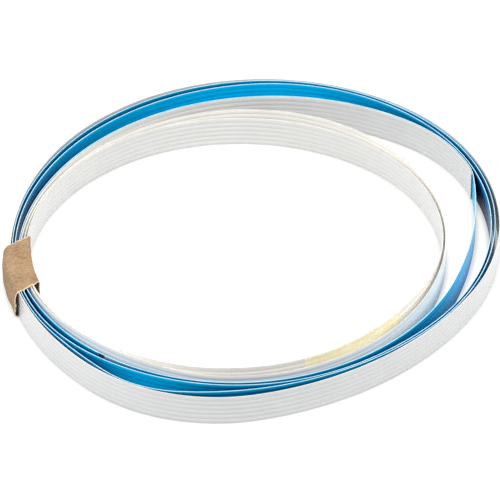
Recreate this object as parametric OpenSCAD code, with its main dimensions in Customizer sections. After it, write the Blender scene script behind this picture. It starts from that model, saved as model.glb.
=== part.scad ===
// Flat flex cable in a loose coil, gathered at one side by a torn band of kraft paper.
// Seven lengths of laminated ribbon stand on edge: four white and three blue.
// Each length is two insulating films bonded over a row of flat copper conductors.

/* [Cable] */
// Number of flat conductors side by side in the cable
conductor_count = 6; // [2:1:10]
// Distance from one conductor to the next, across the cable
conductor_pitch = 2.54; // [2.4:0.02:3]
// Width of one conductor
conductor_w = 1.6; // [0.8:0.1:1.7]
// Thickness of one conductor
conductor_t = 0.1; // [0.06:0.01:0.14]
// Thickness of each of the two insulating films
film_t = 0.16; // [0.1:0.01:0.2]
// Width of the slope where a film steps up over a conductor
ridge_slope = 0.2; // [0.1:0.05:0.3]

/* [Coil] */
// Distance from one length to the next inside the band
layer_pitch = 1.2; // [1:0.05:1.4]
// Air between the innermost blue length and the short white length nested in it
nest_gap = 0.2; // [0.15:0.01:0.3]
// Gap under the band between the two ends of a length
end_gap = 6; // [2:0.5:12]
// How far round its loop the short white length reaches, in degrees of turn
cut_end_turn = 179; // [120:1:180]

/* [Paper band] */
// Length of the band along the cables
band_length = 34; // [24:1:44]
// Thickness of the kraft paper
paper_t = 0.3; // [0.2:0.05:0.5]
// Slack between the band and the outermost length
band_slack_out = 1.8; // [1.2:0.1:4]
// Slack between the band and the innermost length
band_slack_in = 2.4; // [1:0.1:3]
// How far the band is turned against the cables, in degrees
band_turn = 4; // [0:0.5:5]
// Radius at the folded corners of the band
band_corner_r = 1.2; // [0.8:0.1:2]
// Height of the glued overlap on the outer side of the band
band_overlap = 9; // [4:0.5:12]
// Depth of the torn notches along the band's two open edges
tear_depth = 1.4; // [0.4:0.1:2.5]

/* [Tape and mark] */
// Length of the masking tape on the innermost length
tape_length = 55; // [20:1:70]
// Thickness of the masking tape
tape_t = 0.14; // [0.08:0.01:0.2]
// Clear margin between the tape and each edge of the cable
tape_margin = 0.3; // [0:0.1:1.5]
// Length of the black mark on the innermost blue length
mark_length = 3.2; // [1.5:0.1:6]
// Thickness of the black mark
mark_t = 0.08; // [0.04:0.01:0.12]

/* [Hidden] */
$fn = 180;

white_film = [0.90, 0.90, 0.89];
blue_film = [0.02, 0.50, 0.80];
copper = [0.80, 0.50, 0.30];
kraft = [0.78, 0.64, 0.48];
cream_tape = [0.93, 0.90, 0.76];
near_black = [0.08, 0.09, 0.10];

cable_w = conductor_count * conductor_pitch;
// A film steps out over a conductor by half of the conductor's thickness.
ridge_t = conductor_t / 2;
// From the middle of a cable to its outside, over a conductor
half_t = film_t + ridge_t;
// The cables stand on the paper that passes under them.
stand_z = paper_t;

// Each loop is a chain of tangent bends that leaves the band heading along +Y and turns
// clockwise through 360 degrees. A bend is [radius, angle turned]. The two radii given
// as 0 are worked out, so that the loop comes back to where it started in the band.
outer_white_bends = [
    [92, 6], [141, 25], [0, 100], [101, 88], [151, 45], [0, 57], [124, 28], [81, 11]];
first_blue_bends = [
    [123, 43], [116, 42], [0, 58], [98, 45], [111, 43], [0, 50], [54, 39], [215, 9], [94, 31]];
second_blue_bends = [
    [115, 12], [119, 77], [0, 62], [100, 39], [107, 39], [0, 17], [108, 66], [89, 48]];
third_blue_bends = [
    [81, 12], [116, 118], [0, 35], [27, 17], [164, 27], [0, 47], [100, 92], [62, 12]];
middle_white_bends = [
    [93, 32], [108, 50], [0, 101], [99, 41], [97, 54], [0, 19], [128, 28], [68, 35]];
inner_white_bends = [
    [94, 30], [93, 40], [0, 63], [81, 47], [73, 32], [0, 25], [95, 100], [62, 23]];

// Direction from the cable to the centre of its bend, when it heads h degrees right of +Y
function inward(h) = [cos(h), -sin(h)];
// Degrees turned before bend i
function turned(bends, i) = i == 0 ? 0 : turned(bends, i - 1) + bends[i - 1][1];
// How far bend i carries the cable, for each millimetre of its radius
function carry(bends, i) = inward(turned(bends, i)) - inward(turned(bends, i + 1));
function total(list, i = 0) = i == len(list) ? [0, 0] : list[i] + total(list, i + 1);

function thousandth(x) = round(x * 1000) / 1000;

// The same bends with the two open radii worked out, to the nearest thousandth
function closed(bends) =
    let (
        last = len(bends) - 1,
        open = [for (i = [0:last]) if (bends[i][0] == 0) i],
        a = carry(bends, open[0]),
        b = carry(bends, open[1]),
        gap = -total([for (i = [0:last]) bends[i][0] * carry(bends, i)]),
        radii = [cross(gap, b), cross(a, gap)] / cross(a, b)
    )
    [for (i = [0:last])
        [thousandth(i == open[0] ? radii[0] : i == open[1] ? radii[1] : bends[i][0]), bends[i][1]]];

// A route is its starting point and its bends, in the given layer of the stack.
function route(bends, layer) = [[band_x + layer * layer_pitch, band_y], closed(bends)];
// The same route moved inwards everywhere by d
function nested(path, d) = [path[0] + [d, 0], [for (b = path[1]) [b[0] - d, b[1]]]];

// Where a route stands at the start of bend i, and after turning h degrees in all
function bend_start(path, i) =
    path[0] + (i == 0 ? [0, 0] : total([for (j = [0:i - 1]) path[1][j][0] * carry(path[1], j)]));
function bend_at(path, h, i = 0) =
    i == len(path[1]) - 1 || h < turned(path[1], i + 1) ? i : bend_at(path, h, i + 1);
function point_at(path, h) =
    let (i = bend_at(path, h))
    bend_start(path, i) + path[1][i][0] * (inward(turned(path[1], i)) - inward(h));
// The heading that a route reaches, a given distance on from heading h
function heading_after(path, h, distance) =
    let (
        i = bend_at(path, h),
        r = path[1][i][0],
        bend_end = turned(path[1], i + 1),
        left = (bend_end - h) * r * PI / 180
    )
    distance <= left || i == len(path[1]) - 1
        ? h + distance / r * 180 / PI
        : heading_after(path, bend_end, distance - left);

// The band follows the cables on one gentle bend.
band_bend_r = 100;

// The origin is the middle of the coil's outline, which the outermost loop and the band
// give. From it, the place in the band where the outermost length heads along +Y:
outer_loop = [[0, 0], closed(outer_white_bends)];
band_stand_off = half_t + band_slack_out + 2 * paper_t + band_bend_r * (1 - cos(band_turn));
band_x = thousandth((band_stand_off - half_t - point_at(outer_loop, 180)[0]) / 2);
band_y = -thousandth((point_at(outer_loop, 90)[1] + point_at(outer_loop, 270)[1]) / 2);

outer_white = route(outer_white_bends, 0);
first_blue = route(first_blue_bends, 1);
second_blue = route(second_blue_bends, 2);
third_blue = route(third_blue_bends, 3);
cut_white = nested(third_blue, 2 * half_t + nest_gap);
middle_white = route(middle_white_bends, 5);
inner_white = route(inner_white_bends, 6);
last_layer = 6;

band_outer_r = band_bend_r + half_t + band_slack_out + paper_t;
band_inner_r = band_bend_r - last_layer * layer_pitch - half_t - band_slack_in - paper_t;
band_height = cable_w + 2 * paper_t;
// Slant of the band's torn ends across the cables, and the spacing of their notches
band_skew = 30;
tear_step = 1.3;

// The tape starts and the mark lies where their routes have turned this far.
tape_turn = 225;
mark_turn = 312;

// Sweeps a section, drawn as [distance out from the middle of the cable, height], along a
// route between two headings. Bends are placed in two steps, the second very small, so
// that neighbours meet face to face even where places are written out to few digits.
module sweep(path, from, to) {
    bends = path[1];
    for (i = [0:len(bends) - 1]) {
        begin = max(thousandth(from), turned(bends, i));
        end = min(thousandth(to), turned(bends, i + 1));
        centre = bend_start(path, i) + bends[i][0] * inward(turned(bends, i));
        place = [thousandth(centre[0]), thousandth(centre[1])];
        if (end > begin)
            translate(place)
                translate(centre - place)
                    rotate_extrude(angle = end - begin, start = 180 - end)
                        translate([bends[i][0], stand_z])
                            children();
    }
}

// Section of one film: flat on the glue side but for a notch round each conductor, and
// stepped on the outside over the same conductors. side is 1 outwards and -1 inwards.
module film_section(side) {
    middles = [for (i = [0:conductor_count - 1]) (i + 0.5) * conductor_pitch];
    half_w = conductor_w / 2;
    outside = [for (z = middles) each [
        [film_t, z - half_w - ridge_slope], [half_t, z - half_w],
        [half_t, z + half_w], [film_t, z + half_w + ridge_slope]]];
    glue_side = [for (i = [conductor_count - 1:-1:0]) let (z = middles[i]) each [
        [0, z + half_w], [ridge_t, z + half_w],
        [ridge_t, z - half_w], [0, z - half_w]]];
    points = concat([[0, 0], [film_t, 0]], outside, [[film_t, cable_w], [0, cable_w]], glue_side);
    polygon([for (p = points) [side * p[0], p[1]]]);
}

module conductor_sections() {
    for (i = [0:conductor_count - 1])
        translate([-ridge_t, (i + 0.5) * conductor_pitch - conductor_w / 2])
            square([conductor_t, conductor_w]);
}

// A length runs from one plain end under the band right round to the other, or as far as
// the given heading.
module sweep_length(path, to) {
    first_r = path[1][0][0];
    last_r = path[1][len(path[1]) - 1][0];
    sweep(path, end_gap / 2 / first_r * 180 / PI, min(to, 360 - end_gap / 2 / last_r * 180 / PI))
        children();
}

module film(path, side, to = 360) {
    sweep_length(path, to)
        film_section(side);
}

module conductors(path, to = 360) {
    color(copper)
        sweep_length(path, to)
            conductor_sections();
}

module rounded_rectangle(size, r) {
    translate([r, 0])
        square([size[0] - 2 * r, size[1]]);
    translate([0, r])
        square([size[0], size[1] - 2 * r]);
    for (x = [r, size[0] - r], z = [r, size[1] - r])
        translate([x, z])
            circle(r = r, $fn = 32);
}

// Section of the paper: one closed turn round the stack, and the glued overlap outside it.
module band_section() {
    width = band_outer_r - band_inner_r;
    translate([band_inner_r, 0]) {
        difference() {
            rounded_rectangle([width, band_height], band_corner_r);
            translate([paper_t, paper_t])
                rounded_rectangle([width - 2 * paper_t, band_height - 2 * paper_t],
                    band_corner_r - paper_t);
        }
        translate([width - paper_t, (band_height - band_overlap) / 2])
            square([2 * paper_t, band_overlap]);
    }
}

// Everything beyond one slanted, ragged end of the band, turned by the given angle about
// the middle of the band
module torn_away(angle) {
    // The band bends and is turned, so the cut reaches well past its walls.
    half_width = (band_outer_r - band_inner_r + band_length) / 2;
    steps = ceil(2 * half_width / tear_step);
    edge = [for (i = [0:steps])
        let (x = -half_width + i * tear_step)
        [x, x * tan(band_skew) - tear_depth * (0.5 + 0.3 * sin(i * 97) + 0.2 * sin(i * 211))]];
    translate([band_x + band_bend_r - (band_outer_r + band_inner_r) / 2, band_y, -1])
        rotate([0, 0, angle])
            translate([0, band_length / 2, 0])
                linear_extrude(height = band_height + 2)
                    polygon(concat(edge, [[edge[steps][0], band_length], [-half_width, band_length]]));
}

module kraft_band() {
    reach = (band_length + (band_outer_r - band_inner_r) * tan(band_skew)) / 2 + 1;
    sweep_angle = 2 * asin(reach / band_inner_r);
    color(kraft)
        difference() {
            translate([band_x, band_y])
                rotate([0, 0, band_turn])
                    translate([band_bend_r, 0])
                        rotate([0, 0, 180 - sweep_angle / 2])
                            rotate_extrude(angle = sweep_angle)
                                band_section();
            for (angle = [0, 180])
                torn_away(angle);
        }
}

// Tape stuck over the ridges on the outer face of the innermost length
module masking_tape() {
    color(cream_tape)
        sweep(inner_white, tape_turn, heading_after(inner_white, tape_turn, tape_length))
            translate([half_t, tape_margin])
                square([tape_t, cable_w - 2 * tape_margin]);
}

// Short dark bar across the outer face of the innermost blue length
module black_mark() {
    color(near_black)
        sweep(third_blue, mark_turn, heading_after(third_blue, mark_turn, mark_length))
            translate([half_t, 0])
                square([mark_t, cable_w]);
}

// The seven lengths, from the outside of the coil inwards
module outer_white_outer_film() { color(white_film) film(outer_white, 1); }
module outer_white_inner_film() { color(white_film) film(outer_white, -1); }
module outer_white_conductors() { conductors(outer_white); }
module first_blue_outer_film() { color(blue_film) film(first_blue, 1); }
module first_blue_inner_film() { color(blue_film) film(first_blue, -1); }
module first_blue_conductors() { conductors(first_blue); }
module second_blue_outer_film() { color(blue_film) film(second_blue, 1); }
module second_blue_inner_film() { color(blue_film) film(second_blue, -1); }
module second_blue_conductors() { conductors(second_blue); }
module third_blue_outer_film() { color(blue_film) film(third_blue, 1); }
module third_blue_inner_film() { color(blue_film) film(third_blue, -1); }
module third_blue_conductors() { conductors(third_blue); }
module cut_white_outer_film() { color(white_film) film(cut_white, 1, cut_end_turn); }
module cut_white_inner_film() { color(white_film) film(cut_white, -1, cut_end_turn); }
module cut_white_conductors() { conductors(cut_white, cut_end_turn); }
module middle_white_outer_film() { color(white_film) film(middle_white, 1); }
module middle_white_inner_film() { color(white_film) film(middle_white, -1); }
module middle_white_conductors() { conductors(middle_white); }
module inner_white_outer_film() { color(white_film) film(inner_white, 1); }
module inner_white_inner_film() { color(white_film) film(inner_white, -1); }
module inner_white_conductors() { conductors(inner_white); }

outer_white_outer_film();
outer_white_inner_film();
outer_white_conductors();
first_blue_outer_film();
first_blue_inner_film();
first_blue_conductors();
second_blue_outer_film();
second_blue_inner_film();
second_blue_conductors();
third_blue_outer_film();
third_blue_inner_film();
third_blue_conductors();
cut_white_outer_film();
cut_white_inner_film();
cut_white_conductors();
middle_white_outer_film();
middle_white_inner_film();
middle_white_conductors();
inner_white_outer_film();
inner_white_inner_film();
inner_white_conductors();
kraft_band();
masking_tape();
black_mark();
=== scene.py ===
# %% [markdown]
# # A loose coil of flat flex cable
#
# Seven lengths of laminated cable stand on edge, one inside the other, and a torn band of
# kraft paper gathers them at one side. The hard facts, such as the width of the cable and
# the way each length runs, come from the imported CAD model. This script adds what the eye
# looks for: glossy film that steps over each conductor, pale cut edges, crumpled paper,
# a strip of masking tape and the marks of use.

import math

import bpy
import numpy as np
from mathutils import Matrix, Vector, noise


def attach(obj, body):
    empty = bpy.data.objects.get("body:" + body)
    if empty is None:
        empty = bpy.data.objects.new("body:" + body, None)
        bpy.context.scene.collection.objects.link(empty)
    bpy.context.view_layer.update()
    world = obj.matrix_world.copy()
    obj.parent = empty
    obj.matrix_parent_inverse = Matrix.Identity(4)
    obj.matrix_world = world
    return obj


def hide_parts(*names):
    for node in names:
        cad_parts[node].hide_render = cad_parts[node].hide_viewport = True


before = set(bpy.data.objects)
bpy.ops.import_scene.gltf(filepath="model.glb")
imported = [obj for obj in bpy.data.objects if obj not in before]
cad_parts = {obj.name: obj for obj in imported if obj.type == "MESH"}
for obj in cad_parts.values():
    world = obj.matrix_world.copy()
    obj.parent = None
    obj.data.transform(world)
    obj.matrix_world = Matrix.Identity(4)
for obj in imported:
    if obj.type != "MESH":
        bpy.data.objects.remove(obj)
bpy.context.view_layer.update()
MM = 0.001
print("nodes in the frame:", len(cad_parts))

# %% [markdown]
# ## The camera
#
# The coil is flat and wide, so it is seen from well above, at 40 degrees. A long lens from
# far away keeps the near and the far side of the ring at almost the same scale. A camera
# could be placed by its coordinates and rotation. Here it is placed by angles about a point
# in the middle of the coil, because angles are easier to change.

# %% Place the camera
LOOK_AT = Vector((-0.386, 5.204, 0.3)) * MM
CAMERA_AZIMUTH = math.radians(-97)
CAMERA_ELEVATION = math.radians(40)
CAMERA_DISTANCE = 2.5
VIEW_WIDTH = 228.5 * MM
SENSOR_WIDTH = 36.0
FAR_CLIP = 20.0


def add_camera():
    """A long lens that looks at the middle of the coil from the chosen angles."""
    away = Vector((
        math.cos(CAMERA_ELEVATION) * math.cos(CAMERA_AZIMUTH),
        math.cos(CAMERA_ELEVATION) * math.sin(CAMERA_AZIMUTH),
        math.sin(CAMERA_ELEVATION),
    ))
    lens = bpy.data.cameras.new("camera")
    lens.sensor_width = SENSOR_WIDTH
    lens.lens = SENSOR_WIDTH * CAMERA_DISTANCE / VIEW_WIDTH
    lens.clip_end = FAR_CLIP
    camera = bpy.data.objects.new("camera", lens)
    camera.location = LOOK_AT + away * CAMERA_DISTANCE
    camera.rotation_euler = (-away).to_track_quat("-Z", "Y").to_euler()
    bpy.context.scene.collection.objects.link(camera)
    bpy.context.scene.camera = camera
    return camera


camera = add_camera()
print("lens:", round(camera.data.lens, 1), "mm")

# %% [markdown]
# ## How each length runs
#
# A springy flat cable that is coiled by hand doesn't lie in true circles. It lies in gentle
# bends that follow each other with no corner. A Bezier curve could draw such a line, but
# its length would be hard to control. A chain of arcs is easier: each has a radius and an
# angle, and every arc starts in the direction in which the last one ended. Each length
# leaves the paper band heading along +Y, turns clockwise round the coil, and comes back
# into the band. These are the same arcs as in the CAD model, so the dressed cable lies
# exactly where the solids are.

# %% Routes
BAND_X, BAND_Y = -111.117, -10.57
LAYER_PITCH = 1.2
CABLE_WIDTH = 15.24
STAND_Z = 0.3
END_GAP = 6.0
CUT_END_TURN = 179.0
NEST_DISTANCE = 0.62

# Bends are (radius in mm, degrees turned). The layer is the place in the stack.
THIRD_BLUE_BENDS = [
    (81, 12), (116, 118), (70.218, 35), (27, 17), (164, 27), (109.954, 47), (100, 92), (62, 12)]
ROUTES = {
    "outer_white": (0, [
        (92, 6), (141, 25), (112.52, 100), (101, 88), (151, 45), (83.886, 57), (124, 28),
        (81, 11)]),
    "first_blue": (1, [
        (123, 43), (116, 42), (106.45, 58), (98, 45), (111, 43), (142.292, 50), (54, 39),
        (215, 9), (94, 31)]),
    "second_blue": (2, [
        (115, 12), (119, 77), (100.074, 62), (100, 39), (107, 39), (145.636, 17), (108, 66),
        (89, 48)]),
    "third_blue": (3, THIRD_BLUE_BENDS),
    "cut_white": (3 + NEST_DISTANCE / LAYER_PITCH, [
        (r - NEST_DISTANCE, turn) for r, turn in THIRD_BLUE_BENDS]),
    "middle_white": (5, [
        (93, 32), (108, 50), (89.749, 101), (99, 41), (97, 54), (72.559, 19), (128, 28),
        (68, 35)]),
    "inner_white": (6, [
        (94, 30), (93, 40), (100.827, 63), (81, 47), (73, 32), (115.76, 25), (95, 100),
        (62, 23)]),
}


def inward(heading):
    """Unit vector to the inside of the coil, for a cable that has turned by heading."""
    h = math.radians(heading)
    return np.array([math.cos(h), -math.sin(h)])


def place_on(length, heading):
    """The middle of the cable in plan, in mm, and how far along the length that is."""
    layer, bends = ROUTES[length]
    point = np.array([BAND_X + layer * LAYER_PITCH, BAND_Y])
    turned = travelled = 0.0
    for i, (radius, turn) in enumerate(bends):
        last = i == len(bends) - 1
        here = heading - turned if last else min(turn, heading - turned)
        point = point + radius * (inward(turned) - inward(turned + here))
        travelled += radius * math.radians(here)
        turned += turn
        if heading <= turned:
            break
    return point, travelled


def span_of(length):
    """The headings at which a length starts and ends."""
    bends = ROUTES[length][1]
    start = math.degrees(END_GAP / 2 / bends[0][0])
    end = 360 - math.degrees(END_GAP / 2 / bends[-1][0])
    return start, min(end, CUT_END_TURN) if length == "cut_white" else end


for name in ROUTES:
    first, last = span_of(name)
    print(name, round(place_on(name, last)[1] - place_on(name, first)[1], 1), "mm long")

# %% [markdown]
# ## The section of the cable
#
# Two films are pressed together over a row of flat copper strips. The films can't hide the
# strips, so each one shows as a low flat ridge on both faces. The ridge is only 0.05 mm
# high, but on glossy film it catches the light along the whole coil, and it is what tells
# the eye that this is a cable and not tape. It is therefore modelled, and not left to a
# bump map. The section is a list of stations across the cable: a height, half the
# thickness there, and whether the strip of surface above that station is pale cut edge.

# %% Section
CONDUCTORS = 6
CONDUCTOR_PITCH = 2.54
CONDUCTOR_WIDTH = 1.6
FILM = 0.16
RIDGE = 0.05
RIDGE_SLOPE = 0.2
EDGE_ROUND = 0.08
EDGE_TIP = 0.6
EDGE_SHOULDER = 0.88
PALE_MARGIN = 0.2


def section():
    """Stations (height, half thickness, on an edge) from the bottom of the cable to its top."""
    half = CONDUCTOR_WIDTH / 2
    lower_edge = [
        (0, FILM * EDGE_TIP, True), (EDGE_ROUND / 3, FILM * EDGE_SHOULDER, True),
        (EDGE_ROUND, FILM, True), (PALE_MARGIN, FILM, False)]
    stations = list(lower_edge)
    for i in range(CONDUCTORS):
        middle = (i + 0.5) * CONDUCTOR_PITCH
        rise = [(half + RIDGE_SLOPE, 0), (half + RIDGE_SLOPE / 2, 0.5), (half, 1)]
        stations += [(middle - d, FILM + RIDGE * share, False) for d, share in rise]
        stations += [(middle + d, FILM + RIDGE * share, False) for d, share in reversed(rise)]
    stations += [(CABLE_WIDTH - z, thickness, True) for z, thickness, _ in reversed(lower_edge)]
    return stations


SECTION = section()


def half_thickness(height):
    """Half the thickness of the cable at a height above its lower edge, in mm."""
    return float(np.interp(height, [s[0] for s in SECTION], [s[1] for s in SECTION]))


print("stations across the cable:", len(SECTION))

# %% [markdown]
# ## Meshes from rings
#
# A bevelled curve could carry the section round the coil, but it would give no control over
# masks and materials. So a length is built as a row of rings. Each ring is the section,
# stood upright across the route, and neighbouring rings are joined with quads. Quads that
# run with the cable shade smoothly along the bends. The number of rings follows the angle
# turned, so every bend is equally round. A UV map keeps the distance along the cable and
# the height across it, in centimetres, so that materials can run with the cable.

# %% Mesh helpers
CM = 10  # A centimetre in mm. It is the unit of the UV maps.


def new_piece(name, points, faces, materials, face_slots=None, sharp_angle=35):
    """A mesh object from points in mm. It rides on the only body and shades smoothly."""
    mesh = bpy.data.meshes.new(name)
    mesh.from_pydata((np.asarray(points) * MM).tolist(), [], faces)
    for material in materials:
        mesh.materials.append(material)
    if face_slots is not None:
        mesh.polygons.foreach_set("material_index", np.asarray(face_slots, dtype=np.int32))
    mesh.shade_smooth()
    mesh.set_sharp_from_angle(angle=math.radians(sharp_angle))
    mesh.validate()
    piece = bpy.data.objects.new(name, mesh)
    bpy.context.scene.collection.objects.link(piece)
    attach(piece, "root")
    return piece


def write_map(piece, coordinates):
    """A UV map from one (along, across) pair for each vertex, given in mm."""
    layer = piece.data.uv_layers.new(name="along_and_across")
    corners = np.empty(len(piece.data.loops), dtype=np.int32)
    piece.data.loops.foreach_get("vertex_index", corners)
    layer.data.foreach_set("uv", (np.asarray(coordinates)[corners] / CM).ravel())


def write_mask(piece, name, values):
    """One number for each vertex, which a material reads with an Attribute node."""
    layer = piece.data.attributes.new(name, "FLOAT", "POINT")
    layer.data.foreach_set("value", np.asarray(values, dtype=np.float32))


# %% [markdown]
# ## Building blocks for the materials
#
# Materials are made of nodes. They could be wired by hand in the shader editor, but a script
# gives the same result each time. A few small helpers keep the wiring readable: each adds
# one node, sets its inputs and gives back its output, and one starts a material.

# %% Node helpers
def add_node(tree, kind, **settings):
    """Adds a node. Settings are the node's own properties."""
    made = tree.nodes.new(kind)
    for key, value in settings.items():
        setattr(made, key, value)
    return made


def math_node(tree, operation, *values, clamp=False):
    """One step of arithmetic. Each value is a number or an output socket."""
    made = add_node(tree, "ShaderNodeMath", operation=operation, use_clamp=clamp)
    for socket, value in zip(made.inputs, values):
        if isinstance(value, bpy.types.NodeSocket):
            tree.links.new(value, socket)
        else:
            socket.default_value = value
    return made.outputs[0]


def mix_colours(tree, factor, a, b):
    """Mixes two colours by a factor that is an output socket. A colour may be one, too."""
    made = add_node(tree, "ShaderNodeMix", data_type="RGBA")
    factor_input, a_input, b_input = made.inputs[0], made.inputs[6], made.inputs[7]
    tree.links.new(factor, factor_input)
    for socket, value in ((a_input, a), (b_input, b)):
        if isinstance(value, bpy.types.NodeSocket):
            tree.links.new(value, socket)
        else:
            socket.default_value = (*value, 1)
    return made.outputs[2]


def noise_node(tree, vector, scale, detail=4.0, roughness=0.5):
    """Soft random values in space, from 0 to 1."""
    made = add_node(tree, "ShaderNodeTexNoise")
    tree.links.new(vector, made.inputs["Vector"])
    made.inputs["Scale"].default_value = scale
    made.inputs["Detail"].default_value = detail
    made.inputs["Roughness"].default_value = roughness
    return made.outputs["Fac"]


def stretched(tree, vector, factors):
    """Coordinates multiplied axis by axis."""
    made = add_node(tree, "ShaderNodeVectorMath", operation="MULTIPLY")
    tree.links.new(vector, made.inputs[0])
    made.inputs[1].default_value = factors
    return made.outputs[0]


def ramp(tree, value, low, high, out_low=0.0, out_high=1.0):
    """Maps low..high smoothly to out_low..out_high."""
    made = add_node(tree, "ShaderNodeMapRange", interpolation_type="SMOOTHSTEP")
    tree.links.new(value, made.inputs["Value"])
    made.inputs["From Min"].default_value = low
    made.inputs["From Max"].default_value = high
    made.inputs["To Min"].default_value = out_low
    made.inputs["To Max"].default_value = out_high
    return made.outputs["Result"]


def vertex_mask(tree, name):
    """A mask that was written on the vertices of a piece."""
    return add_node(tree, "ShaderNodeAttribute", attribute_name=name).outputs["Fac"]


def new_material(name, roughness, **fixed):
    """A material with a Principled BSDF. Fixed numbers go on the shader's own sockets."""
    made = bpy.data.materials.new(name)
    made.use_nodes = True
    tree = made.node_tree
    shader = tree.nodes["Principled BSDF"]
    shader.inputs["Roughness"].default_value = roughness
    for key, value in fixed.items():
        shader.inputs[key.replace("_", " ")].default_value = value
    return made, tree, shader


def add_bump(tree, shader, height, distance):
    """Tilts the normals as if the surface rose by the height, where 1 is the distance."""
    bump = add_node(tree, "ShaderNodeBump")
    bump.inputs["Strength"].default_value = 1.0
    bump.inputs["Distance"].default_value = distance
    tree.links.new(height, bump.inputs["Height"])
    tree.links.new(bump.outputs["Normal"], shader.inputs["Normal"])


def srgb(*colour):
    """A colour as a screen shows it, 0 to 255, turned into the linear values nodes use."""
    shares = [c / 255 for c in colour]
    return tuple(c / 12.92 if c <= 0.04045 else ((c + 0.055) / 1.055) ** 2.4 for c in shares)


def start_group(name, inputs, outputs):
    """A shader node group. Inputs are names with their default numbers, outputs are names."""
    tree = bpy.data.node_groups.new(name, "ShaderNodeTree")
    for label, default in inputs.items():
        socket = tree.interface.new_socket(label, in_out="INPUT", socket_type="NodeSocketFloat")
        socket.default_value = default
    for label in outputs:
        tree.interface.new_socket(label, in_out="OUTPUT", socket_type="NodeSocketFloat")
    entry = tree.nodes.new("NodeGroupInput")
    leave = tree.nodes.new("NodeGroupOutput")
    return tree, entry.outputs, leave.inputs


def use_group(tree, group, **values):
    """Places a group in a material, with the material's own values for its inputs."""
    made = add_node(tree, "ShaderNodeGroup", node_tree=group)
    for key, value in values.items():
        made.inputs[key].default_value = value
    return made.outputs


print("a mid grey of 128 on a screen is", round(srgb(128)[0], 3), "in linear light")

# %% [markdown]
# ### Ribs over the conductors
#
# Where a film bridges the gap between two conductors it is glued straight to the other
# film and looks a little greyer. A painted texture could show this, but a mask that is
# worked out stays sharp at any distance. Both the white and the blue film need it, so it
# is a group. It reads the height across the cable from the UV map, folds it into one
# conductor pitch, and puts out the mask: 1 over a conductor, 0 in the groove.

# %% Group: conductor ribs
GLUE_MARGIN = 0.05


def conductor_ribs_group():
    tree, given, out = start_group(
        "conductor_ribs",
        {"Pitch": CONDUCTOR_PITCH, "Half width": CONDUCTOR_WIDTH / 2 + GLUE_MARGIN, "Softness": 0.15},
        ["Over conductor"])
    place = add_node(tree, "ShaderNodeUVMap", uv_map="along_and_across")
    axes = add_node(tree, "ShaderNodeSeparateXYZ")
    tree.links.new(place.outputs[0], axes.inputs[0])
    height = math_node(tree, "MULTIPLY", axes.outputs["Y"], CM)
    turns = math_node(tree, "DIVIDE", height, given["Pitch"])
    folded = math_node(tree, "SUBTRACT", math_node(tree, "FRACT", turns), 0.5)
    distance = math_node(tree, "MULTIPLY", math_node(tree, "ABSOLUTE", folded), given["Pitch"])
    beyond = math_node(tree, "SUBTRACT", distance, given["Half width"])
    share = math_node(tree, "DIVIDE", beyond, given["Softness"], clamp=True)
    tree.links.new(math_node(tree, "SUBTRACT", 1.0, share), out["Over conductor"])
    return tree


RIBS = conductor_ribs_group()
print("ribs:", len(RIBS.nodes), "nodes")

# %% [markdown]
# ### Handling wear
#
# Film that has been coiled by hand isn't a perfect mirror. It has long shallow waves, a
# fine haze that comes and goes, and hair scratches that run mostly with the cable. All of
# this is far too fine to model, so it is noise, stretched along the cable where it follows
# it. The group puts out a height for the bump, a haze for the roughness and a soft mottle
# for the colour. Materials scale them with their own numbers.

# %% Group: handling wear
def handling_wear_group():
    tree, given, out = start_group(
        "handling_wear", {"Wave": 1.0, "Scratch": 0.004}, ["Height", "Haze", "Mottle"])
    place = add_node(tree, "ShaderNodeUVMap", uv_map="along_and_across").outputs[0]
    body = add_node(tree, "ShaderNodeTexCoord").outputs["Object"]
    waves = noise_node(tree, stretched(tree, body, (1, 1, 0.6)), 55, detail=2)
    hairs = noise_node(tree, stretched(tree, place, (0.5, 40, 1)), 3, detail=6, roughness=0.7)
    haze = noise_node(tree, stretched(tree, place, (0.35, 1.6, 1)), 2.2, detail=5, roughness=0.6)
    mottle = noise_node(tree, body, 90, detail=5, roughness=0.6)
    wave_height = math_node(tree, "MULTIPLY", waves, given["Wave"])
    hair_height = math_node(tree, "MULTIPLY", hairs, given["Scratch"])
    tree.links.new(math_node(tree, "ADD", wave_height, hair_height), out["Height"])
    tree.links.new(ramp(tree, haze, 0.35, 0.7), out["Haze"])
    tree.links.new(ramp(tree, mottle, 0.3, 0.7), out["Mottle"])
    return tree


WEAR = handling_wear_group()
print("handling wear:", len(WEAR.nodes), "nodes")

# %% [markdown]
# ### Paper fibre
#
# Kraft paper and masking tape are both made of pressed fibre. Loose hairs could be modelled
# one by one, but pressed fibre lies flat, and noise shows it well. The group mixes a fine
# speckle, short stretched fibres and a slow change of shade.

# %% Group: paper fibre
def paper_fibre_group():
    tree, given, out = start_group("paper_fibre", {"Size": 1.0}, ["Fibre", "Cloud", "Height"])
    body = add_node(tree, "ShaderNodeTexCoord").outputs["Object"]
    scaled = add_node(tree, "ShaderNodeVectorMath", operation="SCALE")
    tree.links.new(body, scaled.inputs[0])
    tree.links.new(given["Size"], scaled.inputs["Scale"])
    paper = scaled.outputs[0]
    fine = noise_node(tree, paper, 1900, detail=2, roughness=0.7)
    strands = noise_node(tree, stretched(tree, paper, (1, 3.2, 1.4)), 700, detail=4, roughness=0.7)
    cloud = noise_node(tree, paper, 160, detail=4, roughness=0.6)
    speckle = math_node(tree, "MULTIPLY", fine, 0.4)
    both = math_node(tree, "ADD", speckle, math_node(tree, "MULTIPLY", strands, 0.6))
    tree.links.new(ramp(tree, both, 0.4, 0.6), out["Fibre"])
    tree.links.new(ramp(tree, cloud, 0.3, 0.7), out["Cloud"])
    swell = math_node(tree, "MULTIPLY", cloud, 1.5)
    tree.links.new(math_node(tree, "ADD", both, swell), out["Height"])
    return tree


FIBRE = paper_fibre_group()
print("paper fibre:", len(FIBRE.nodes), "nodes")

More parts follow.
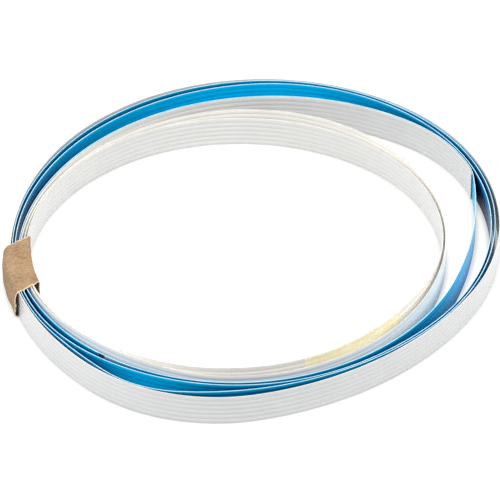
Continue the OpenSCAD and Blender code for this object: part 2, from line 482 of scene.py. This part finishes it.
# %% [markdown]
# ## The finishes
#
# All films are glossy plastic with a slightly softer sheen where they have been handled.
# There are three whites: a grey one on the outermost and the cut length, a lighter one and a
# darker one on the two innermost. Their shades are partly the films' own tones and partly
# painted light and shade, set to how bright each length looks among its neighbours. The blue
# is a strong cyan blue. Two masks on the vertices change the film. One puts a painted sheen,
# a pale highlight, on the blue film. The other is 1 where film is deep in a narrow gap. There
# the blue film gets painted shade and turns navy, while white film gets a paler colour and a
# faint glow: painted light for the light that comes through thin film. Real scattering inside
# the film would be slow and doesn't fit into a baked texture, so the masks choose between
# plain colours.

# %% Film materials
MOTTLE_SHADE, MOTTLE_SHARE = 0.94, 0.5
CLEAN_SHARE, HAZY_SHARE = 0.75, 1.35  # Of the film's own roughness.


def paint_gap_glow(tree, shader, glow):
    """A painted glow on thin pale film that is deep between two lengths."""
    light = mix_colours(tree, vertex_mask(tree, "nested"), (0, 0, 0), glow)
    tree.links.new(light, shader.inputs["Emission Color"])
    shader.inputs["Emission Strength"].default_value = 1.0


def film_material(name, over, groove, nested, roughness, wave, gloss, painted_sheen=None, glow=None):
    """Film over the conductors and in the grooves, painted for light and shade deep in a gap and, if
    given, with a painted sheen.
    """
    made, tree, shader = new_material(name, roughness, Specular_IOR_Level=gloss, IOR=1.5)
    ribs = use_group(tree, RIBS)
    wear = use_group(tree, WEAR, Wave=wave)
    colour = mix_colours(tree, ribs["Over conductor"], groove, over)
    darker = tuple(c * MOTTLE_SHADE for c in over)
    mottle = math_node(tree, "MULTIPLY", wear["Mottle"], MOTTLE_SHARE)
    colour = mix_colours(tree, mottle, colour, darker)
    if painted_sheen:
        # The pale blend is a painted sheen, a highlight painted into the colour.
        colour = mix_colours(tree, vertex_mask(tree, "painted_sheen"), colour, painted_sheen)
    if glow:
        paint_gap_glow(tree, shader, glow)
    # Deep in a gap the colour is painted shade on blue film and painted light on white film.
    colour = mix_colours(tree, vertex_mask(tree, "nested"), colour, nested)
    tree.links.new(colour, shader.inputs["Base Color"])
    rough = ramp(tree, wear["Haze"], 0, 1, roughness * CLEAN_SHARE, roughness * HAZY_SHARE)
    tree.links.new(rough, shader.inputs["Roughness"])
    add_bump(tree, shader, wear["Height"], 0.15 * MM)
    return made


def white_film(name, over, groove, wave, gloss):
    """White films differ in shade, waves and gloss. Their shades are partly painted light and shade, and
    all of them get a painted glow deep in a gap.
    """
    # Deep in a gap white film gets a paler colour and a glow, both painted light.
    return film_material(
        name, over, groove, nested=srgb(246, 243, 238), roughness=0.14, wave=wave, gloss=gloss,
        glow=(0.07, 0.068, 0.065))


def edge_material(name, colour, shade):
    """The pale cut edge of film, with a soft mottle."""
    made, tree, shader = new_material(name, 0.45)
    wear = use_group(tree, WEAR, Wave=0.0)
    tree.links.new(mix_colours(tree, wear["Mottle"], colour, shade), shader.inputs["Base Color"])
    add_bump(tree, shader, wear["Height"], 0.1 * MM)
    return made


# %% Film and edge colours
# The whites are partly the films' own tones and partly painted light and shade: a lighter and a darker
# copy of white film stand in for how brightly each length is lit.
GREY_WHITE_FILM = white_film(
    "grey_white_film", srgb(206, 207, 207), srgb(203, 204, 203), wave=0.3, gloss=0.3)
SHADED_WHITE_FILM = white_film(
    "shaded_white_film", srgb(214, 214, 212), srgb(210, 210, 207), wave=0.5, gloss=0.3)
LIT_WHITE_FILM = white_film(
    "lit_white_film", srgb(243, 241, 236), srgb(239, 237, 231), wave=0.4, gloss=0.2)
# The navy deep in a gap is painted shade, and the pale blue is a painted sheen.
BLUE_FILM = film_material(
    "blue_film", srgb(0, 180, 228), srgb(0, 174, 222), nested=srgb(8, 64, 122),
    painted_sheen=srgb(205, 214, 222), roughness=0.12, wave=0.4, gloss=0.02)
WHITE_EDGE = edge_material("white_film_edge", srgb(218, 217, 208), srgb(198, 197, 188))
BLUE_EDGE = edge_material("blue_film_edge", srgb(190, 232, 248), srgb(160, 216, 240))
print("finishes so far:", [material.name for material in bpy.data.materials])

# %% [markdown]
# Copper shows only where a cable is cut, as a row of small bright bars. Freshly cut copper
# is pink and dulls quickly, so the colour drifts a little. The bars of the CAD model have
# the right shape already, so they stay as they are and only take the new material.

# %% Copper
def copper_material():
    made, tree, shader = new_material("copper", 0.32, Metallic=1.0)
    body = add_node(tree, "ShaderNodeTexCoord").outputs["Object"]
    dull = ramp(tree, noise_node(tree, body, 700, detail=4), 0.35, 0.7)
    colour = mix_colours(tree, dull, srgb(225, 150, 118), srgb(178, 106, 78))
    tree.links.new(colour, shader.inputs["Base Color"])
    tree.links.new(ramp(tree, dull, 0, 1, 0.25, 0.5), shader.inputs["Roughness"])
    return made


COPPER = copper_material()
bars = [carried for node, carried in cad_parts.items() if node.endswith("_conductors")]
for carried in bars:
    carried.data.materials.clear()
    carried.data.materials.append(COPPER)
print("copper on", len(bars), "nodes")

# %% [markdown]
# ## A painted sheen, and painted light and shade in narrow gaps
#
# The innermost blue length carries a painted sheen: for a few centimetres up to its black
# mark, on its outer face, its colour turns nearly white as a painted highlight. Weights
# could be painted by hand, but a mask on the vertices can be worked out from the heading
# while the rings are made. The mask for narrow gaps, which carries painted shade on blue
# film and painted light on white film, needs the distance to the neighbour, so each middle
# line is first turned into points. Three inner faces take no part of that mask: those of
# the two innermost lengths have open air or a pale neighbour beside them, and that of the
# outermost length shows only as a thin grey rim. The inner face of the cut length takes half.

# %% Where the blue film gets a painted sheen
SHEEN_START, SHEEN_FULL, SHEEN_STOP = 300.0, 311.8, 312.2
SHEEN_STRENGTH, SHEEN_POWER = 0.85, 1.3


def within(low, value, high):
    """The value, kept between low and high."""
    return min(max(value, low), high)


def painted_sheen_share(length, heading, side):
    """How much painted sheen the film gets, 0 to 1, at a heading on the outer (1) or inner (-1) face."""
    if length != "third_blue" or side < 0 or heading >= SHEEN_STOP:
        return 0.0
    rise = (heading - SHEEN_START) / (SHEEN_FULL - SHEEN_START)
    return float(SHEEN_STRENGTH * within(0, rise, 1) ** SHEEN_POWER)


# %% Film deep between two lengths
LINE_STEP = 0.4
OPEN_GAP = 50.0
BESIDE_WIDTH = 0.6
LEAST_GAP = 0.3
NARROW_GAP, NARROWEST_GAP, NARROW_POWER = 9.0, 2.0, 0.75
DEPTH_SHARE = 0.4
INSIDE_SHARE = {"outer_white": 0.0, "middle_white": 0.0, "inner_white": 0.0, "cut_white": 0.5}


def line_of(length):
    """Points along the middle line of a length, in plan."""
    first, last = span_of(length)
    return np.array([place_on(length, h)[0] for h in np.arange(first, last, LINE_STEP)])


LINES = {length: line_of(length) for length in ROUTES}


def gap_beside(length, heading, side):
    """The distance in mm from a length to the next one outside (1) or inside (-1) of it."""
    middle = place_on(length, heading)[0]
    out = -inward(heading)
    ahead = np.array([-out[1], out[0]])
    gap = OPEN_GAP
    for other, line in LINES.items():
        away = line - middle
        across = away @ out * side
        beside = (np.abs(away @ ahead) < BESIDE_WIDTH) & (across > LEAST_GAP)
        if other != length and beside.any():
            gap = min(gap, float(across[beside].min()))
    return gap


def nestedness(gap, z):
    """0 on open film, 1 on film that is deep in a narrow gap."""
    narrow = within(0, (NARROW_GAP - gap) / (NARROW_GAP - NARROWEST_GAP), 1) ** NARROW_POWER
    depth = min(z, CABLE_WIDTH - z)
    return narrow * within(0, depth / (DEPTH_SHARE * gap), 1)


print("points on the middle lines:", {length: len(line) for length, line in LINES.items()})

# %% [markdown]
# ## The seven lengths
#
# Each length is one closed mesh: an outer and an inner face with their ridges, narrow
# rounded edges that get the pale edge material, and a flat cut at both ends. Two thin
# sheets could stand for the two films, but pressed together they look like one body, and
# one closed mesh has no hidden faces that flicker through each other. The film stops a
# hair short of the copper, as it does when a laminate is cut and springs back.

# %% Build one length
RING_STEP = 1.2
FILM_SHRINK = 0.12


def headings_for(length, first, last):
    """Evenly spaced headings, with two more where the painted sheen stops sharply."""
    count = math.ceil((last - first) / RING_STEP)
    wanted = list(np.linspace(first, last, count + 1))
    if length == "third_blue":
        wanted += [(SHEEN_FULL + SHEEN_STOP) / 2, SHEEN_STOP]
    return sorted(wanted)


def build_length(length, film, edge):
    """One length of cable with its masks. Also gives back the middle line of the cable."""
    first, last = span_of(length)
    bends = ROUTES[length][1]
    first += math.degrees(FILM_SHRINK / bends[0][0])
    last -= math.degrees(FILM_SHRINK / bends[-1][0])
    around = [(z, t, 1) for z, t, _ in SECTION] + [(z, t, -1) for z, t, _ in reversed(SECTION)]
    one_side = [edge_above for _, _, edge_above in SECTION[:-1]]
    on_edge = one_side + [True] + one_side[::-1] + [True]
    size = len(around)
    inside = {1: 1.0, -1: INSIDE_SHARE.get(length, 1.0)}
    points, coordinates, painted_sheen, nested, path = [], [], [], [], []
    headings = headings_for(length, first, last)
    for heading in headings:
        middle, along = place_on(length, heading)
        out = -inward(heading)
        gaps = {side: gap_beside(length, heading, side) for side in (1, -1)}
        path.append(tuple(MM * v for v in (*middle, STAND_Z + CABLE_WIDTH / 2)))
        for z, thickness, side in around:
            x, y = middle + out * side * thickness
            points.append((x, y, STAND_Z + z))
            coordinates.append((along, z))
            painted_sheen.append(painted_sheen_share(length, heading, side))
            nested.append(inside[side] * nestedness(gaps[side], z))
    faces, slots = [], []
    for ring in range(len(headings) - 1):
        a, b = ring * size, (ring + 1) * size
        for i in range(size):
            j = (i + 1) % size
            faces.append((a + i, a + j, b + j, b + i))
            slots.append(int(on_edge[i]))
    for base, flip in ((0, False), ((len(headings) - 1) * size, True)):
        for i in range(len(SECTION) - 1):
            quad = (base + i, base + size - 1 - i, base + size - 2 - i, base + i + 1)
            faces.append(quad[::-1] if flip else quad)
            slots.append(1)
    piece = new_piece(length, points, faces, [film, edge], slots)
    write_map(piece, coordinates)
    # This mask places the painted sheen on the blue film.
    if "blue" in length:
        write_mask(piece, "painted_sheen", painted_sheen)
    # This mask places painted shade on blue film and painted light on white film.
    write_mask(piece, "nested", nested)
    return piece, path


# %% Build them all and say what they are
def declare_length(length):
    """The real length of one cable in metres. The films of the CAD model are hidden."""
    first, last = span_of(length)
    real = (place_on(length, last)[1] - place_on(length, first)[1]) * MM
    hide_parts(length + "_outer_film", length + "_inner_film")
    return real


FILM_OF = {
    "outer_white": GREY_WHITE_FILM, "first_blue": BLUE_FILM, "second_blue": BLUE_FILM,
    "third_blue": BLUE_FILM, "cut_white": GREY_WHITE_FILM, "middle_white": LIT_WHITE_FILM,
    "inner_white": SHADED_WHITE_FILM}
total = 0.0
for length, film in FILM_OF.items():
    edge = BLUE_EDGE if film is BLUE_FILM else WHITE_EDGE
    piece, path = build_length(length, film, edge)
    real = declare_length(length)
    total += real
    print(length, len(piece.data.polygons), "faces,", round(real * 1000), "mm")
print("cable in all:", round(total, 2), "m")

# %% [markdown]
# ## The masking tape and the black mark
#
# Both are thin strips stuck across the outer face of a length. They could be painted into
# the film, but tape has a thickness that catches the light along its rim. Tape that is
# pressed on by hand follows the ridges, with a few shallow creases, and its torn ends are
# slightly ragged. The same function makes both, because a marker bar is only a thinner,
# darker strip with softer ends.

# %% Build a strip on a face
STRIP_ROWS = 56
GLUE_LINE = 0.004
FINE_CREASE = 0.35


def uneven(size, a, b, seed):
    """Smooth random unevenness over two directions. Each seed gives another pattern."""
    return size * noise.noise(Vector((a, b, seed)))


def build_strip(name, length, first, last, material, margin, thickness, ragged, crease, columns):
    """A closed strip on the outer face of a length, between two headings."""
    heights = np.linspace(margin, CABLE_WIDTH - margin, STRIP_ROWS)
    gap = gap_beside(length, (first + last) / 2, 1)
    points, coordinates = [], []
    for outer in (False, True):
        for z in heights:
            start = first + uneven(ragged, z * 1.7, 3.1, 0)
            stop = last + uneven(ragged, z * 1.9, 8.4, 0)
            for c in range(columns):
                heading = start + (stop - start) * (c / (columns - 1))
                middle, along = place_on(length, heading)
                surface = half_thickness(z) + GLUE_LINE
                if outer:
                    lump = uneven(1, along * 0.9, z * 0.35, 5.0)
                    fine = uneven(1, along * 3.1, z * 1.3, 9.0)
                    surface += thickness + crease * (abs(lump) + FINE_CREASE * abs(fine))
                x, y = middle - inward(heading) * surface
                points.append((x, y, STAND_Z + z))
                coordinates.append((along, z))
    faces, count = [], STRIP_ROWS * columns
    for layer in (0, 1):
        for r in range(STRIP_ROWS - 1):
            for c in range(columns - 1):
                a = layer * count + r * columns + c
                quad = (a, a + 1, a + columns + 1, a + columns)
                faces.append(quad if layer == 0 else quad[::-1])
    rim = list(range(columns)) + [r * columns + columns - 1 for r in range(1, STRIP_ROWS)]
    rim += [(STRIP_ROWS - 1) * columns + c for c in range(columns - 2, -1, -1)]
    rim += [r * columns for r in range(STRIP_ROWS - 2, 0, -1)]
    for a, b in zip(rim, rim[1:] + rim[:1]):
        faces.append((b, a, a + count, b + count))
    piece = new_piece(name, points, faces, [material], sharp_angle=50)
    write_map(piece, coordinates)
    # This mask places the tape's painted glow.
    write_mask(piece, "nested", [nestedness(gap, z) for _, z in coordinates])
    return piece


# %% Tape and mark materials
def tape_material():
    """Cream crepe paper, with a faint painted glow where it is deep in a gap."""
    made, tree, shader = new_material("masking_tape_paper", 0.62)
    paint_gap_glow(tree, shader, (0.09, 0.085, 0.07))
    fibre = use_group(tree, FIBRE, Size=1.0)
    strands = math_node(tree, "MULTIPLY", fibre["Fibre"], 0.3)
    colour = mix_colours(tree, fibre["Cloud"], srgb(238, 231, 200), srgb(228, 219, 184))
    colour = mix_colours(tree, strands, colour, srgb(246, 241, 218))
    tree.links.new(colour, shader.inputs["Base Color"])
    add_bump(tree, shader, fibre["Height"], 0.05 * MM)
    return made


def marker_material():
    """Black ink on glossy film, a little worn."""
    made, tree, shader = new_material("black_marker", 0.4)
    wear = use_group(tree, WEAR, Wave=0.5)
    colour = mix_colours(tree, wear["Mottle"], srgb(30, 35, 40), srgb(54, 60, 66))
    tree.links.new(colour, shader.inputs["Base Color"])
    add_bump(tree, shader, wear["Height"], 0.1 * MM)
    return made


# %% Put them on
TAPE_START, TAPE_END = 225.0, 255.549
MARK_START, MARK_LENGTH, MARK_RADIUS = 312.0, 3.2, 100.0
MARK_END = MARK_START + math.degrees(MARK_LENGTH / MARK_RADIUS)
tape = build_strip(
    "masking_tape_strip", "inner_white", TAPE_START, TAPE_END, tape_material(),
    margin=0.3, thickness=0.09, ragged=0.5, crease=0.05, columns=150)
mark = build_strip(
    "marker_bar", "third_blue", MARK_START, MARK_END, marker_material(),
    margin=0.02, thickness=0.05, ragged=0.12, crease=0.01, columns=14)
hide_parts("masking_tape")
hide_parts("black_mark")
print("tape:", len(tape.data.polygons), "faces; mark:", len(mark.data.polygons), "faces")

# %% [markdown]
# ## The kraft paper band
#
# The band is one strip of kraft paper, torn from a sheet, bent round the stack and stuck
# to itself on the outside. A cloth simulation could wrap it, but it would be hard to steer.
# So it is modelled as the strip that it is: a grid whose columns go once round the stack
# and a little further, and whose rows run along the cables. The two long edges of the grid
# are torn, so they get a slant and a ragged line. The outer side bulges in the middle and
# flares at its near edge, and its corners grow rounder toward the far edge, because the
# paper isn't pulled tight there. Crumples are pushed into the grid, and a Solidify modifier
# gives the paper its thickness and gives the torn rims a material of their own.

# %% Band shape
BAND_RADIUS = 100.0
BAND_TURN = math.radians(4)
BAND_MIDDLE_R = 96.1
BAND_HALF_WIDTH = 6.06
BAND_HEIGHT = 15.84
BAND_LENGTH = 34.0
BAND_OVERLAP = 9.0
PAPER = 0.3
SLANT = math.tan(math.radians(30))
INNER_CORNER = 1.05
OUTER_CORNER, CORNER_GROWTH = 2.2, 1.15


def round_the_stack(distance, outer_corner):
    """A point on the middle of the paper: (out from the stack's middle, height).

    The way round starts halfway up the outer side, goes over the top to the inside, under
    the stack, and up the outer side again. The distance is measured on a band with small
    corners. Where the outer corners are rounder, the straight parts give way to them.
    """
    w, h = BAND_HALF_WIDTH, (BAND_HEIGHT - PAPER) / 2
    radii = [outer_corner, INNER_CORNER, INNER_CORNER, outer_corner]
    signs = [(1, 1), (-1, 1), (-1, -1), (1, -1)]
    centres = [(sx * (w - r), sy * (h - r)) for (sx, sy), r in zip(signs, radii)]
    ways = [(0, 1), (-1, 0), (0, -1), (1, 0), (0, 1)]
    small = INNER_CORNER
    legs = [h - small, 2 * (w - small), 2 * (h - small), 2 * (w - small), h - small]
    arc = math.pi / 2 * small
    here, d = (w, 0.0), distance % (sum(legs) + 4 * arc)
    for i in range(5):
        if i < 4:
            (cx, cy), r, turn = centres[i], radii[i], math.radians(90 * i)
            there = (cx + r * math.cos(turn), cy + r * math.sin(turn))
        else:
            there = (w, 0.0)
        if d <= legs[i] or i == 4:
            share = min(d / legs[i], 1)
            return here[0] + (there[0] - here[0]) * share, here[1] + (there[1] - here[1]) * share, ways[i]
        d -= legs[i]
        if d <= arc:
            angle = turn + d / small
            return cx + r * math.cos(angle), cy + r * math.sin(angle), (-math.sin(angle), math.cos(angle))
        d -= arc
        turn += math.pi / 2
        here = (cx + r * math.cos(turn), cy + r * math.sin(turn))


BAND_ROUND = (
    4 * (BAND_HALF_WIDTH - INNER_CORNER) + 2 * (BAND_HEIGHT - PAPER - 2 * INNER_CORNER)
    + 2 * math.pi * INNER_CORNER)
print("round the stack:", round(BAND_ROUND, 1), "mm")

# %% How the paper tears, bulges and crumples
TORN_INSET = 0.7
EDGE_SPREAD = 7
NEAR_TEAR, NEAR_TEAR_DROP = 1.4, 6
FLARE, FLARE_POWER = 0.75, 1.5
BULGE, BULGE_PLACE, BULGE_REACH = 0.7, 0.2, 0.5
LAP_LIFT, LAP_RAMP = 0.32, 2
FLAT_RAMP = 2


def torn_end(distance, along, out, up):
    """How far a torn edge is from the middle. The near one has a bite low on the outside."""
    edge = EDGE_SPREAD * along
    ragged = uneven(0.6, distance * 0.45, edge, 1.0) + uneven(0.35, distance * 1.6, edge, 4.0)
    near, outside = max(-along, 0), max(out / BAND_HALF_WIDTH, 0)
    bite = NEAR_TEAR * near * outside * within(0, -up / NEAR_TEAR_DROP, 1)
    return BAND_LENGTH / 2 - TORN_INSET + ragged - bite


def slack(along, out):
    """How far loose paper stands off the stack on its outer side."""
    near, outside = max(-along, 0), max(out / BAND_HALF_WIDTH, 0)
    bulge = BULGE * max(1 - (along - BULGE_PLACE) ** 2 / BULGE_REACH, 0)
    return (FLARE * near ** FLARE_POWER + bulge) * outside ** 2


def crumple(distance, y, up):
    """A push along the normal. The paper lies flat on the ground."""
    push = uneven(0.34, distance * 0.2, y * 0.13, 2.0)
    push += uneven(0.13, distance * 0.6, y * 0.45, 6.0)
    return push * within(0, (up + BAND_HEIGHT / 2) / FLAT_RAMP, 1)


# %% Build the band
BAND_COLUMNS, BAND_ROWS = 230, 84
TORN_ROWS = 1.8


def band_point(distance, along):
    """A point of the band. Along is -1 on the near torn edge and 1 on the far one."""
    out, up, way = round_the_stack(distance, OUTER_CORNER + CORNER_GROWTH * max(along, 0))
    y = along * torn_end(distance, along, out, up) - out * SLANT
    out += slack(along, out)
    lap = within(0, (BAND_OVERLAP / 2 + LAP_RAMP - distance) / LAP_RAMP, 1)
    push = crumple(distance, y, up) + lap * LAP_LIFT
    out += way[1] * push
    highest = (BAND_HEIGHT - PAPER) / 2
    up = within(-highest, up - way[0] * push, highest)
    ahead = y - BAND_RADIUS * math.sin(BAND_TURN)
    centre_x = BAND_X + BAND_RADIUS * math.cos(BAND_TURN)
    x = centre_x - math.sqrt((BAND_MIDDLE_R + out) ** 2 - ahead ** 2)
    return x, BAND_Y + y, BAND_HEIGHT / 2 + up


def build_band(material, torn):
    """The strip of paper. The attribute "torn" is 1 on its two torn edges."""
    distances = np.linspace(0, 1, BAND_COLUMNS) * (BAND_ROUND + BAND_OVERLAP) - BAND_OVERLAP / 2
    points, ragged = [], []
    for r in range(BAND_ROWS):
        along = r / (BAND_ROWS - 1) * 2 - 1
        from_edge = min(r, BAND_ROWS - 1 - r)
        points += [band_point(distance, along) for distance in distances]
        ragged += [max(0.0, 1 - from_edge / TORN_ROWS)] * BAND_COLUMNS
    faces = []
    for r in range(BAND_ROWS - 1):
        for c in range(BAND_COLUMNS - 1):
            a = r * BAND_COLUMNS + c
            faces.append((a, a + 1, a + BAND_COLUMNS + 1, a + BAND_COLUMNS))
    piece = new_piece("kraft_paper_band", points, faces, [material, torn], sharp_angle=70)
    write_mask(piece, "torn", ragged)
    thick = piece.modifiers.new("paper", "SOLIDIFY")
    thick.thickness = PAPER * MM
    thick.offset = 0
    thick.material_offset_rim = 1
    return piece


# %% Paper materials
def kraft_material(name, light, dark, fleck):
    """Brown paper. Where it is torn, pale bare fibre shows in patches."""
    made, tree, shader = new_material(name, 0.85, Specular_IOR_Level=0.25)
    fibre = use_group(tree, FIBRE, Size=1.0)
    colour = mix_colours(tree, fibre["Cloud"], dark, light)
    colour = mix_colours(tree, math_node(tree, "MULTIPLY", fibre["Fibre"], 0.7), colour, fleck)
    patchy = math_node(tree, "ADD", math_node(tree, "MULTIPLY", fibre["Fibre"], 0.6), 0.55)
    bare = math_node(tree, "MULTIPLY", vertex_mask(tree, "torn"), patchy, clamp=True)
    colour = mix_colours(tree, bare, colour, srgb(238, 222, 198))
    tree.links.new(colour, shader.inputs["Base Color"])
    add_bump(tree, shader, fibre["Height"], 0.12 * MM)
    return made


KRAFT = kraft_material(
    "kraft_paper", srgb(144, 116, 86), srgb(120, 93, 65), srgb(178, 150, 118))
TORN = kraft_material(
    "torn_kraft_rim", srgb(142, 114, 84), srgb(118, 92, 63), srgb(174, 146, 114))
band = build_band(KRAFT, TORN)
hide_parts("kraft_band")
print("band:", len(band.data.polygons), "faces before thickness")

# %% [markdown]
# ## Floor and light
#
# Glossy film shows what is around it, so the light is broad: an even world and two large
# soft lamps. Small lamps would leave hard streaks on the film. The floor is a plain pale
# sheet. It is lit like everything else and so keeps the shadow. More light would turn it
# white, but it would bleach the film, too. Extra brightness that only the camera and
# reflections see keeps it white instead, and that brightness fades out close to the coil,
# so the thin contact shadow stays dark.

# %% Floor
FLOOR_HALF_SIZE = 4.0
FLOOR_GREY = 0.55
FLOOR_WHITENESS = 0.88
WHITE_STRENGTH = 1.2
CONTACT_SHADOW = 3 * MM


def floor_material():
    """A pale sheet that looks white to the camera and in reflections."""
    made, tree, shader = new_material("pale_floor", 0.9, Specular_IOR_Level=0.0)
    shader.inputs["Base Color"].default_value = (FLOOR_GREY, FLOOR_GREY, FLOOR_GREY, 1)
    rays = add_node(tree, "ShaderNodeLightPath").outputs
    seen = math_node(tree, "MAXIMUM", rays["Is Camera Ray"], rays["Is Glossy Ray"])
    open_air = add_node(tree, "ShaderNodeAmbientOcclusion", samples=8)
    open_air.inputs["Distance"].default_value = CONTACT_SHADOW
    seen = math_node(tree, "MULTIPLY", seen, open_air.outputs["AO"])
    white = add_node(tree, "ShaderNodeEmission")
    white.inputs["Strength"].default_value = WHITE_STRENGTH
    both = add_node(tree, "ShaderNodeMixShader")
    tree.links.new(math_node(tree, "MULTIPLY", seen, FLOOR_WHITENESS), both.inputs["Fac"])
    tree.links.new(shader.outputs[0], both.inputs[1])
    tree.links.new(white.outputs[0], both.inputs[2])
    tree.links.new(both.outputs[0], tree.nodes["Material Output"].inputs["Surface"])
    return made


def add_floor():
    """One large square at height 0."""
    mesh = bpy.data.meshes.new("floor")
    signs = [(-1, -1), (1, -1), (1, 1), (-1, 1)]
    corners = [(x * FLOOR_HALF_SIZE, y * FLOOR_HALF_SIZE, 0) for x, y in signs]
    mesh.from_pydata(corners, [], [(0, 1, 2, 3)])
    mesh.materials.append(floor_material())
    floor = bpy.data.objects.new("floor", mesh)
    bpy.context.scene.collection.objects.link(floor)


add_floor()
print("floor:", 2 * FLOOR_HALF_SIZE, "m wide")

# %% World and lamps
WORLD_STRENGTH = 0.64
LAMP_SIZE = 1.0
LAMP_POWER = 42
LAMP_PLACES = {"left": (-1.5, -0.5, 1.7), "right": (1.5, -0.5, 1.7)}


def add_world():
    """Even white light from all round."""
    world = bpy.data.worlds.new("studio")
    bpy.context.scene.world = world
    world.use_nodes = True
    back = world.node_tree.nodes["Background"]
    back.inputs["Color"].default_value = (1, 1, 1, 1)
    back.inputs["Strength"].default_value = WORLD_STRENGTH


def add_lamp(name, place):
    """A square soft lamp that points at the coil."""
    light = bpy.data.lights.new(name, "AREA")
    light.shape = "SQUARE"
    light.size = LAMP_SIZE
    light.energy = LAMP_POWER
    lamp = bpy.data.objects.new(name, light)
    lamp.location = place
    lamp.rotation_euler = (-Vector(place)).to_track_quat("-Z", "Y").to_euler()
    bpy.context.scene.collection.objects.link(lamp)


add_world()
for name, place in LAMP_PLACES.items():
    add_lamp(name, place)
bpy.context.scene.view_settings.view_transform = "Standard"
print("lamps:", len(LAMP_PLACES))
